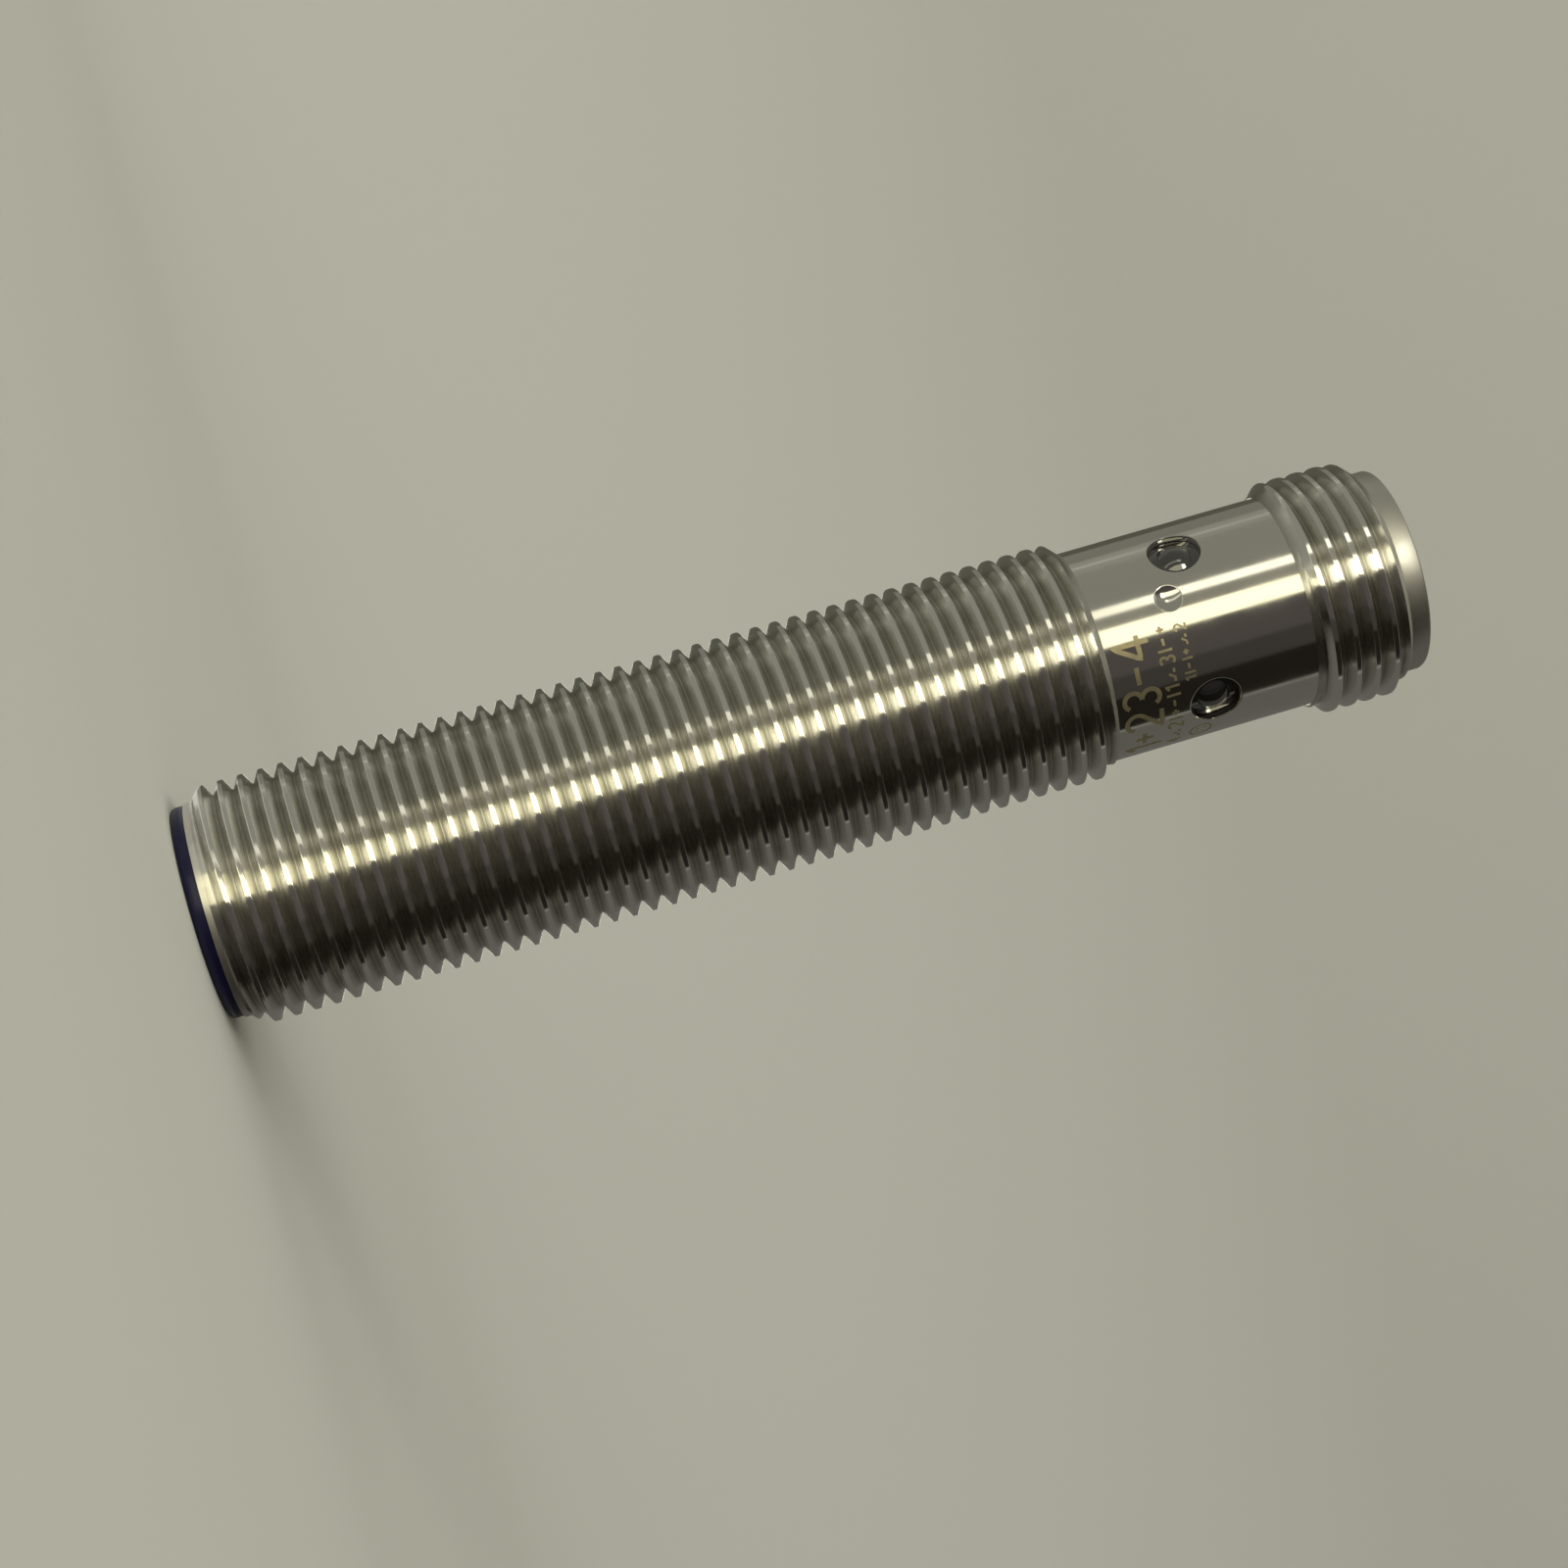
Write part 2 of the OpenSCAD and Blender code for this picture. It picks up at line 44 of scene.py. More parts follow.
# Sizes of the sleeve in millimetres, the same as in the part's source
COLLAR_R = 5.35
LEAD_IN_R = 5.15
BORE_R = 5.0
SOCKET_BORE_R = 4.7
SLEEVE_Z = 0.7
COLLAR_Z = 45.1
CONNECTOR_THREAD_Z = 55.4
LEAD_IN_Z = 60.3
END_Z = 61.4
SHOULDER_Z = 53.6
WINDOW_Z = 50.1
WINDOW_R = 1.3
WINDOW_ANGLES = (45, 135, 225, 315)
CRIMP_ANGLE = 252
CRIMP_Z = 48.9
THREAD_END_R = 5.38
# Plain land between the sensing face and the thread
FRONT_LAND = 0.3
# The crimp dent is the print of a ball, drawn a little larger and deeper than in the source
CRIMP_R = 0.68
CRIMP_DEPTH = 0.24
CRIMP_BALL_R = (CRIMP_R**2 + CRIMP_DEPTH**2) / (2 * CRIMP_DEPTH)

# Broken edges and chamfers in millimetres
WINDOW_BREAK = 0.07
WINDOW_BREAK_MIDDLE = 0.02
CRIMP_BREAK = 0.04
LEAD_IN_BREAK = 0.05
LEAD_IN_CHAMFER = 0.15
MOUTH_CHAMFER = 0.2

# Thread form: 60 degree flanks on a rounded root, and a crest with its corners broken.
# The standard's crest is 0.125 mm flat; this one is drawn flatter, so that it mirrors enough to show.
PITCH = 1.0
CREST_R = 5.995
CREST_FLAT = 0.24
CREST_BREAK_R = 0.06
ROOT_R = 5.387
ROOT_ROUND_R = 0.05
FLANK_LEANS = (0, -30, -60)
# Plain last part of each end's chamfer, into which the groove runs out
RUN_OUT = 0.22
# Where a crest crosses the angle 0
BODY_CREST_Z = 1.15
CONNECTOR_CREST_Z = 55.4
# Each thread's lower and upper end and its first crest
THREADS = (
    (SLEEVE_Z + FRONT_LAND, COLLAR_Z, BODY_CREST_Z),
    (CONNECTOR_THREAD_Z, LEAD_IN_Z, CONNECTOR_CREST_Z),
)

# Facets round the sleeve, and rows of the collar's wall below and above the windows' middle
COLUMNS = 120
STEP = TURN / COLUMNS
ROWS_BELOW = 20
ROWS_ABOVE = 21
# The patches of that wall round each window and round the dent: rows, and columns to either side
WINDOW_ROWS = slice(12, 27)
WINDOW_COLUMNS = 6
CRIMP_ROWS = slice(11, 19)
CRIMP_COLUMNS = 3
# Rings of a patch from its edge to the hole's rim, and of the dent from its rim to its middle
PATCH_SHARES = (0, 0.3, 0.6, 0.82, 1)
DENT_SHARES = (0.97, 0.85, 0.7, 0.52, 0.34, 0.16, 0)
# Points nearer than this, in metres, are one point
WELD = 3e-7
# How near, in millimetres, a vertex has to be to count as on a wall, on the thread's form, or at a height
ON_WALL = 0.002
ON_FORM = 0.001
AT_HEIGHT = 0.01
# Anything further out than the bore by this much is on the outside
OUTSIDE = 0.05
# A face whose normal points up or down by more than this share isn't part of the wall
LEVEL = 0.8


# Shapes


def linear(hex_colour):
    """An sRGB hex colour as linear red, green, blue and alpha."""
    parts = [int(hex_colour[i : i + 2], 16) / 255 for i in (1, 3, 5)]
    return tuple(c / 12.92 if c <= 0.04045 else ((c + 0.055) / 1.055) ** 2.4 for c in parts) + (1.0,)


def at(radius, angle, z):
    """Points in metres from radius, angle in radians and height, in millimetres."""
    radius, angle, z = np.broadcast_arrays(radius, angle, z)
    return np.stack([radius * np.cos(angle), radius * np.sin(angle), z], -1) * MM


def quads_between(grid):
    """The quads of a grid of points, rows by columns."""
    corners = [grid[:-1, :-1], grid[:-1, 1:], grid[1:, 1:], grid[1:, :-1]]
    return np.stack(corners, 2).reshape(-1, 4, 3)


def turned(profile):
    """The quads of a turned surface from a profile of radius and height."""
    angles = np.linspace(0, TURN, COLUMNS + 1)
    r = np.array([p[0] for p in profile])[:, None]
    z = np.array([p[1] for p in profile])[:, None]
    return quads_between(at(r, angles[None, :], z))


def thread_form():
    """One turn of thread from root to root: place along it, radius and the lean of its surface."""
    leans = np.radians(FLANK_LEANS)
    break_middle = CREST_FLAT / 2 - CREST_BREAK_R * math.tan(math.radians(30))
    rise = []
    for t in leans:
        rise.append((-0.5 - ROOT_ROUND_R * math.sin(t), ROOT_R + ROOT_ROUND_R * (1 - math.cos(t)), t))
    for t in leans[::-1]:
        along = -break_middle + CREST_BREAK_R * math.sin(t)
        rise.append((along, CREST_R - CREST_BREAK_R * (1 - math.cos(t)), t))
    return rise + [(-along, radius, -lean) for along, radius, lean in rise[:0:-1]]


def threaded(low, high, crest_z):
    """The quads of a right-hand thread between two heights, with a 45 degree chamfer at each end."""
    angles = np.linspace(0, TURN, COLUMNS + 1)[None, :]
    turns = int(math.ceil((high - low) / PITCH)) + 4
    first = math.floor((low - crest_z) / PITCH) - 2
    steps = [(first + n + u, r) for n in range(turns) for u, r, lean in thread_form()]
    along = np.array([s[0] for s in steps])[:, None]
    form = np.array([s[1] for s in steps])[:, None]
    z = np.clip(crest_z + PITCH * (along + angles / TURN), low, high)
    edge = np.minimum(z - low, high - z)
    groove_end = THREAD_END_R + np.minimum(edge, 2 * RUN_OUT - edge)
    r = np.maximum(np.minimum(form, THREAD_END_R + edge), groove_end)
    return quads_between(at(r, angles, z))


def place_on_wall(degrees, z, radius, rows, columns):
    """A round hole or dent in the wall, and the patch of the wall's grid that makes room for it."""
    middle = round(math.radians(degrees) / STEP)
    patch = {"rows": rows, "columns": (middle - columns, middle + columns)}
    return {"angle": math.radians(degrees), "z": z, "radius": radius, **patch}


def rim_points(hole, depth_r, radius):
    """Points where a round hole of that radius, bored towards the axis, meets the radius depth_r."""
    across = radius * np.cos(hole["turns"])
    angle = hole["angle"] + np.arcsin(across / depth_r)
    return at(depth_r, angle, hole["z"] + radius * np.sin(hole["turns"]))


def closed(rings):
    """The quads between closed rings of points."""
    grid = np.stack(rings)
    return quads_between(np.concatenate([grid, grid[:, :1]], 1))


def patch_edge(columns, rows):
    """Grid places round the edge of a patch, in order, as column and height."""
    a, b = columns
    low = [(c, rows[0]) for c in range(a, b)]
    right = [(b, z) for z in rows[:-1]]
    high = [(c, rows[-1]) for c in range(b, a, -1)]
    left = [(a, z) for z in reversed(rows[1:])]
    return np.array(low + right + high + left, float)


def pierced(radius, rows, holes):
    """A round wall with patches left out for holes, and the patches drawn in to each hole's rim."""
    angles = np.linspace(0, TURN, COLUMNS + 1)
    grid = at(radius, angles[None, :], np.array(rows)[:, None])
    keep = np.ones((len(rows) - 1, COLUMNS), bool)
    made = []
    for hole in holes:
        a, b = hole["columns"]
        inside = [i for i, z in enumerate(rows) if hole["rows"][0] <= z <= hole["rows"][-1]]
        keep[inside[0] : inside[-1], a:b] = False
        edge = patch_edge((a, b), [rows[i] for i in inside])
        edge_angle = edge[:, 0] * STEP
        if "turns" not in hole:
            across = radius * np.sin(edge_angle - hole["angle"])
            hole["turns"] = np.arctan2(edge[:, 1] - hole["z"], across)
        rim_across = hole["radius"] * np.cos(hole["turns"])
        rim_angle = hole["angle"] + np.arcsin(rim_across / radius)
        rim_z = hole["z"] + hole["radius"] * np.sin(hole["turns"])
        rings = []
        for share in PATCH_SHARES:
            angle = edge_angle + (rim_angle - edge_angle) * share
            rings.append(at(radius, angle, edge[:, 1] + (rim_z - edge[:, 1]) * share))
        made.append(closed(rings))
    return np.concatenate([quads_between(grid).reshape(*keep.shape, 4, 3)[keep]] + made)


def mesh_object(name, quads, sharp_degrees=35):
    """One welded mesh from quads, smooth except where it turns by more than the angle."""
    mesh = bpy.data.meshes.new(name)
    points = quads.reshape(-1, 3)
    mesh.from_pydata(points.tolist(), [], np.arange(len(points)).reshape(-1, 4).tolist())
    bm = bmesh.new()
    bm.from_mesh(mesh)
    bmesh.ops.remove_doubles(bm, verts=bm.verts, dist=WELD)
    bmesh.ops.dissolve_degenerate(bm, edges=bm.edges, dist=WELD)
    bmesh.ops.recalc_face_normals(bm, faces=bm.faces)
    limit = math.radians(sharp_degrees)
    for face in bm.faces:
        face.smooth = True
    for edge in bm.edges:
        edge.smooth = len(edge.link_faces) == 2 and edge.calc_face_angle(0) < limit
    bm.to_mesh(mesh)
    bm.free()
    made = bpy.data.objects.new(name, mesh)
    bpy.context.scene.collection.objects.link(made)
    return made


def unit(vectors):
    """Vectors of length one."""
    return vectors / np.linalg.norm(vectors, axis=1)[:, None]


def wall_normals(x, y, z):
    """The true normals of the collar's wall and its dent, and which vertices lie on them."""
    radius = np.hypot(x, y)
    on_collar = np.abs(radius - COLLAR_R) < ON_WALL
    on_collar &= (z > COLLAR_Z - AT_HEIGHT) & (z < CONNECTOR_THREAD_Z + AT_HEIGHT)
    out_x, out_y = math.cos(math.radians(CRIMP_ANGLE)), math.sin(math.radians(CRIMP_ANGLE))
    across, up = y * out_x - x * out_y, z - CRIMP_Z
    off_middle = np.hypot(across, up)
    in_dent = (off_middle < CRIMP_R) & (x * out_x + y * out_y > BORE_R + OUTSIDE)
    # In the print of a ball a normal leans towards the middle by its distance over the ball's height
    ball_height = np.sqrt(CRIMP_BALL_R**2 - np.minimum(off_middle, CRIMP_R) ** 2)
    lean_in = np.where(in_dent, 1 / ball_height, 0)
    normal_x = x / radius + across * out_y * lean_in
    normal_y = y / radius - across * out_x * lean_in
    return unit(np.stack([normal_x, normal_y, -up * lean_in], 1)), on_collar | in_dent


def thread_normals(x, y, z, low, high, crest_z):
    """The true normals of a thread, and which vertices lie on its full form."""
    radius = np.hypot(x, y)
    form = np.array(thread_form())
    along = (z - crest_z) / PITCH - np.arctan2(y, x) % TURN / TURN
    along -= np.round(along)
    nearest = np.abs(np.abs(along)[:, None] - np.abs(form[None, :, 0])).argmin(1)
    fits = np.abs(np.abs(along) - np.abs(form[nearest, 0])) < ON_FORM
    fits &= np.abs(radius - form[nearest, 1]) < ON_FORM
    fits &= (z > low + AT_HEIGHT) & (z < high - AT_HEIGHT)
    lean = np.abs(form[nearest, 2]) * np.sign(along)
    # The thread climbs as it turns, so its normal leans a little round the axis too
    out, round_it = np.cos(lean), -np.sin(lean) * PITCH / (TURN * radius)
    exact = np.stack([out * x - round_it * y, out * y + round_it * x, np.sin(lean) * radius], 1)
    return unit(exact), fits


def exact_normals(sleeve):
    """Gives the collar and the threads the normals of their true form, so that they mirror evenly."""
    mesh = sleeve.data
    normals = np.zeros(len(mesh.loops) * 3, np.float32)
    mesh.corner_normals.foreach_get("vector", normals)
    normals = normals.reshape(-1, 3)
    corner = np.zeros(len(mesh.loops), np.int32)
    mesh.loops.foreach_get("vertex_index", corner)
    co = np.zeros(len(mesh.vertices) * 3, np.float32)
    mesh.vertices.foreach_get("co", co)
    x, y, z = co.reshape(-1, 3).T / MM
    exact, on_wall = wall_normals(x, y, z)
    for face in mesh.polygons:
        loops = list(face.loop_indices)
        if on_wall[corner[loops]].all() and abs(face.normal.z) < LEVEL:
            normals[loops] = exact[corner[loops]]
    for thread in THREADS:
        exact, on_thread = thread_normals(x, y, z, *thread)
        loops = on_thread[corner]
        normals[loops] = exact[corner[loops]]
    mesh.normals_split_custom_set(normals.tolist())


def lead_in_profile():
    """The end ring from the thread's foot over its chamfered end and down the socket's bore."""
    return [
        (THREAD_END_R, LEAD_IN_Z),
        (LEAD_IN_R + LEAD_IN_BREAK, LEAD_IN_Z),
        (LEAD_IN_R, LEAD_IN_Z + LEAD_IN_BREAK),
        (LEAD_IN_R, END_Z - LEAD_IN_CHAMFER),
        (LEAD_IN_R - LEAD_IN_BREAK, END_Z - LEAD_IN_BREAK),
        (LEAD_IN_R - LEAD_IN_CHAMFER, END_Z),
        (SOCKET_BORE_R + MOUTH_CHAMFER, END_Z),
        (SOCKET_BORE_R, END_Z - MOUTH_CHAMFER),
        (SOCKET_BORE_R, SHOULDER_Z),
        (BORE_R, SHOULDER_Z),
    ]


def window_wall(window):
    """The wall of one window, from its broken outer edge to the bore."""
    walls = [
        (COLLAR_R, WINDOW_BREAK),
        (COLLAR_R - WINDOW_BREAK_MIDDLE, WINDOW_BREAK_MIDDLE),
        (COLLAR_R - WINDOW_BREAK, 0),
        (BORE_R, 0),
    ]
    return closed([rim_points(window, r, WINDOW_R + more) for r, more in walls])


def dent_wall(crimp):
    """The crimp dent, from its broken edge to its middle."""
    rings = [rim_points(crimp, COLLAR_R, CRIMP_R + CRIMP_BREAK)]
    for share in DENT_SHARES:
        radius = CRIMP_R * share
        depth = CRIMP_DEPTH - (CRIMP_BALL_R - math.sqrt(CRIMP_BALL_R**2 - radius**2))
        rings.append(rim_points(crimp, COLLAR_R - depth, radius))
    return closed(rings)


def housing():
    """The turned sleeve: two cut threads, collar with windows and crimp dent, lead-in and bore."""
    below = list(np.linspace(COLLAR_Z, WINDOW_Z, ROWS_BELOW))
    above = list(np.linspace(WINDOW_Z, CONNECTOR_THREAD_Z, ROWS_ABOVE))
    rows = below + above[1:]
    windows = []
    for degrees in WINDOW_ANGLES:
        size = WINDOW_R + WINDOW_BREAK
        windows.append(place_on_wall(degrees, WINDOW_Z, size, rows[WINDOW_ROWS], WINDOW_COLUMNS))
    crimp = place_on_wall(CRIMP_ANGLE, CRIMP_Z, CRIMP_R + CRIMP_BREAK, rows[CRIMP_ROWS], CRIMP_COLUMNS)
    body_thread, connector_thread = THREADS
    quads = [
        turned([(THREAD_END_R, SLEEVE_Z + FRONT_LAND), (THREAD_END_R, SLEEVE_Z), (BORE_R, SLEEVE_Z)]),
        threaded(*body_thread),
        turned([(THREAD_END_R, COLLAR_Z), (COLLAR_R, COLLAR_Z)]),
        pierced(COLLAR_R, rows, windows + [crimp]),
        turned([(COLLAR_R, CONNECTOR_THREAD_Z), (THREAD_END_R, CONNECTOR_THREAD_Z)]),
        threaded(*connector_thread),
        turned(lead_in_profile()),
    ]
    for window in windows:
        quads.append(window_wall(window))
        window["radius"] = WINDOW_R
    quads.append(pierced(BORE_R, [SLEEVE_Z] + rows[WINDOW_ROWS] + [SHOULDER_Z], windows))
    quads.append(dent_wall(crimp))
    sleeve = mesh_object("turned_sleeve", np.concatenate(quads))
    exact_normals(sleeve)
    return sleeve


# Finishes

# A noise texture's values lie mostly between these two
NOISE_RANGE = {"From Min": 0.3, "From Max": 0.7}


def add(tree, kind, inputs=(), **settings):
    """Adds a node with its settings and links, and returns it."""
    made = tree.nodes.new("ShaderNode" + kind)
    for name, value in settings.items():
        setattr(made, name, value)
    for name, value in dict(inputs).items():
        if isinstance(value, bpy.types.NodeSocket):
            tree.links.new(value, made.inputs[name])
        else:
            made.inputs[name].default_value = value
    return made


def new_material(name, **sockets):
    """A material with its shader, whose plain values are set, and the object's own coordinates."""
    material = bpy.data.materials.new(name)
    material.use_nodes = True
    tree = material.node_tree
    shader = tree.nodes["Principled BSDF"]
    for socket, value in sockets.items():
        shader.inputs[socket.replace("_", " ").title().replace("Ior", "IOR")].default_value = value
    where = add(tree, "TexCoord").outputs["Object"]
    return material, tree, shader, where


def tinted(tree, where, shader, dark, light, size):
    """Drifts the base colour between two near tones in soft clouds of that size in millimetres."""
    cloud = add(tree, "TexNoise", {"Vector": where, "Scale": 1 / (size * MM), "Detail": 3.0})
    mix = add(tree, "Mix", {"Factor": cloud.outputs["Fac"]}, data_type="RGBA")
    mix.inputs[6].default_value = linear(dark)
    mix.inputs[7].default_value = linear(light)
    tree.links.new(mix.outputs[2], shader.inputs["Base Color"])
    return mix


def worn(tree, where, shader, low, high, size):
    """Drifts the roughness between two values in clouds of that size in millimetres."""
    cloud = add(tree, "TexNoise", {"Vector": where, "Scale": 1 / (size * MM), "Detail": 4.0})
    spread = add(tree, "MapRange", {"Value": cloud.outputs["Fac"], **NOISE_RANGE})
    spread.inputs["To Min"].default_value = low
    spread.inputs["To Max"].default_value = high
    tree.links.new(spread.outputs["Result"], shader.inputs["Roughness"])
    return spread


def grained(tree, where, shader, size, depth, squash=(1, 1, 1)):
    """Raises a fine grain of that size and depth in millimetres."""
    scaled = add(tree, "VectorMath", {0: where, 1: squash}, operation="MULTIPLY")
    grain = add(tree, "TexNoise", {"Vector": scaled.outputs[0], "Scale": 1 / (size * MM), "Detail": 2.0})
    bump = add(tree, "Bump", {"Height": grain.outputs["Fac"], "Strength": 1.0, "Distance": depth * MM})
    tree.links.new(bump.outputs["Normal"], shader.inputs["Normal"])
    return bump


def bright_nickel():
    """Bright nickel plate over turned brass: a grey mirror with faint tool lines round it."""
    material, tree, shader, where = new_material("bright_nickel_plate", metallic=1.0)
    tinted(tree, where, shader, "#D3D1C7", "#DEDCD3", 6)
    worn(tree, where, shader, 0.09, 0.15, 2.5)
    # Feed lines of the lathe, 0.08 mm apart on the real one, drawn at 0.12 mm so that they show
    grained(tree, where, shader, 0.12, 0.0002, (0.02, 0.02, 1))
    return material


# Radii in millimetres between which the groove's painted shade sets in, and the size of its patches
SHADE_FROM_R = 5.78
SHADE_FULL_R = 5.42
SHADE_PATCH = 1.5
# What the groove adds to the roughness, and how much of the plate's colour the painted shade covers
GROOVE_ROUGHNESS = 0.2
SHADE_LEAST = 0.3
SHADE_MOST = 0.65


def nickel_on_thread():
    """The same plate on the cut thread, drawn lighter than the collar's so that its grooves mirror
    brighter: polished on the crests, rougher down the grooves, with painted shade darkening them.
    """
    material, tree, shader, where = new_material("nickel_plated_thread", metallic=1.0)
    # The plate is a little lighter than the collar's: a painted brightening of the reflections deep in the
    # grooves
    mix = tinted(tree, where, shader, "#DEDCD3", "#E7E6DE", 3)
    polish = worn(tree, where, shader, 0.11, 0.17, 1.2)
    grained(tree, where, shader, 0.12, 0.0004, (0.05, 0.05, 1))
    # The cutting tool leaves its lines round the groove, so gloss is spread along the barrel
    shader.inputs["Anisotropic"].default_value = 0.9
    shader.inputs["Anisotropic Rotation"].default_value = 0.25
    round_it = add(tree, "Tangent", direction_type="RADIAL", axis="Z")
    tree.links.new(round_it.outputs["Tangent"], shader.inputs["Tangent"])
    # Painted shade in the groove: from 0.2 mm below the crest the colour darkens in patches towards the
    # root, standing for the shade between the crests
    flat = add(tree, "VectorMath", {0: where, 1: (1, 1, 0)}, operation="MULTIPLY")
    radius = add(tree, "VectorMath", {0: flat.outputs[0]}, operation="LENGTH").outputs["Value"]
    shade_radii = {"From Min": SHADE_FROM_R * MM, "From Max": SHADE_FULL_R * MM}
    depth = add(tree, "MapRange", {"Value": radius, **shade_radii})
    rough = add(tree, "Math", {0: depth.outputs["Result"], 1: GROOVE_ROUGHNESS}, operation="MULTIPLY")
    rough = add(tree, "Math", {0: rough.outputs[0], 1: polish.outputs["Result"]}, operation="ADD")
    tree.links.new(rough.outputs[0], shader.inputs["Roughness"])
    patches = add(tree, "TexNoise", {"Vector": where, "Scale": 1 / (SHADE_PATCH * MM), "Detail": 4.0})
    share = add(tree, "MapRange", {"Value": patches.outputs["Fac"], **NOISE_RANGE})
    share.inputs["To Min"].default_value = SHADE_LEAST
    share.inputs["To Max"].default_value = SHADE_MOST
    groove_shade = add(tree, "Math", {0: depth.outputs["Result"], 1: share.outputs["Result"]}, operation="MULTIPLY")
    # Painted shade: the plate's colour is mixed towards a dark grey down the groove
    groove_shaded = add(tree, "Mix", {"Factor": groove_shade.outputs[0], 6: mix.outputs[2]}, data_type="RGBA")
    groove_shaded.inputs[7].default_value = linear("#8A8677")
    tree.links.new(groove_shaded.outputs[2], shader.inputs["Base Color"])
    return material


def satin_nickel():
    """The same plate on the fine-turned end ring, front land and run-outs: a soft grey sheen."""
    material, tree, shader, where = new_material("satin_nickel_plate", metallic=1.0)
    tinted(tree, where, shader, "#C6C4B9", "#D2D0C6", 2)
    worn(tree, where, shader, 0.38, 0.46, 1.5)
    grained(tree, where, shader, 0.12, 0.001, (0.02, 0.02, 1))
    return material


def annealed_marks():
    """Laser-annealed nickel: a matt straw tone that stays light where the mirror goes dark."""
    material, tree, shader, where = new_material("laser_annealed_nickel", metallic=0.85)
    tinted(tree, where, shader, "#9C9070", "#BDB490", 0.4)
    worn(tree, where, shader, 0.45, 0.6, 0.3)
    grained(tree, where, shader, 0.05, 0.002)
    return material


def blue_polyester():
    """Moulded polyester: a dark navy, lightly glossy, with the faint grain of its mould."""
    material, tree, shader, where = new_material("moulded_blue_polyester", ior=1.57, specular_ior_level=0.3)
    tinted(tree, where, shader, "#060428", "#0A0736", 3)
    worn(tree, where, shader, 0.34, 0.46, 1.5)
    grained(tree, where, shader, 0.12, 0.002)
    return material


def black_polyamide():
    """Glass-filled polyamide: near black, half matt, with short fibres just under the skin."""
    material, tree, shader, where = new_material("glass_filled_polyamide", ior=1.53)
    tinted(tree, where, shader, "#0F1012", "#1B1C1F", 0.5)
    worn(tree, where, shader, 0.38, 0.52, 0.8)
    grained(tree, where, shader, 0.1, 0.003, (1, 1, 0.4))
    return material


def smoked_polycarbonate():
    """Smoked polycarbonate light guide: dark and very glossy until the chip behind it is lit."""
    # Its moulded skin is polished, so it mirrors more than the plain plastic would
    gloss = {"specular_ior_level": 1.0, "coat_weight": 1.0, "coat_roughness": 0.05}
    material, tree, shader, where = new_material("smoked_polycarbonate", ior=1.585, **gloss)
    tinted(tree, where, shader, "#0F100C", "#191A14", 1.5)
    worn(tree, where, shader, 0.05, 0.1, 1)
    grained(tree, where, shader, 0.4, 0.001)
    return material


def hard_gold():
    """Hard gold plate over turned brass contacts: warm, bright, with fine turning lines."""
    material, tree, shader, where = new_material("hard_gold_plate", metallic=1.0)
    tinted(tree, where, shader, "#E0B04E", "#EEC266", 0.8)
    worn(tree, where, shader, 0.16, 0.26, 0.5)
    grained(tree, where, shader, 0.1, 0.0005, (0.05, 0.05, 1))
    return material


def brass_strip():
    """Rolled brass strip, bare: yellow, with rolling lines along it."""
    material, tree, shader, where = new_material("rolled_brass_strip", metallic=1.0)
    tinted(tree, where, shader, "#C9A24C", "#DDB866", 1.2)
    worn(tree, where, shader, 0.25, 0.4, 0.8)
    grained(tree, where, shader, 0.08, 0.001, (1, 1, 0.1))
    return material


def pressed_ferrite():
    """Pressed and fired ferrite: charcoal grey, dull, with a fine powder grain."""
    material, tree, shader, where = new_material("fired_ferrite", ior=2.2)
    tinted(tree, where, shader, "#2B2A2C", "#3B3A3D", 0.4)
    worn(tree, where, shader, 0.55, 0.7, 0.5)
    grained(tree, where, shader, 0.06, 0.006)
    return material


def natural_polyester():
    """Uncoloured moulded polyester: creamy white and half matt."""
    material, tree, shader, where = new_material("natural_polyester", ior=1.57)
    tinted(tree, where, shader, "#DAD4C2", "#E8E3D4", 1.2)
    worn(tree, where, shader, 0.4, 0.5, 1)
    grained(tree, where, shader, 0.15, 0.002)
    return material


# Wire of the coil in millimetres
WIRE_D = 0.1


def enamelled_copper():
    """Enamelled copper wire: reddish brown and glossy, each turn showing as a ridge."""
    material, tree, shader, where = new_material("enamelled_copper_wire", metallic=1.0)
    tinted(tree, where, shader, "#A8562E", "#C06A3A", 0.4)
    worn(tree, where, shader, 0.18, 0.3, 0.4)
    # One ridge a turn of the wire; at scale 1 the bands run through 20 radians a metre
    ridges = TURN / 20 / (WIRE_D * MM)
    wave = add(tree, "TexWave", {"Vector": where, "Scale": ridges}, bands_direction="Z")
    bump = add(tree, "Bump", {"Height": wave.outputs["Fac"], "Strength": 1.0, "Distance": WIRE_D / 5 * MM})
    tree.links.new(bump.outputs["Normal"], shader.inputs["Normal"])
    return material


def board_laminate():
    """Glass-epoxy laminate under green solder resist: glossy, with the weave showing faintly."""
    material, tree, shader, where = new_material("glass_epoxy_board", ior=1.55)
    tinted(tree, where, shader, "#1C4B2C", "#2A6239", 0.6)
    worn(tree, where, shader, 0.3, 0.42, 0.8)
    grained(tree, where, shader, 0.25, 0.004)
    return material


def chip_moulding():
    """Epoxy moulding compound of chips: black-grey and matt."""
    material, tree, shader, where = new_material("epoxy_moulding_compound", ior=1.55)
    tinted(tree, where, shader, "#17181A", "#232427", 0.3)
    worn(tree, where, shader, 0.55, 0.7, 0.4)
    grained(tree, where, shader, 0.05, 0.003)
    return material


def chip_ceramic():
    """Fired ceramic of resistors and capacitors: tan, with a dull glaze."""
    material, tree, shader, where = new_material("fired_chip_ceramic", ior=1.6)
    tinted(tree, where, shader, "#A08A66", "#B89F78", 0.3)
    worn(tree, where, shader, 0.35, 0.5, 0.3)
    grained(tree, where, shader, 0.05, 0.002)
    return material


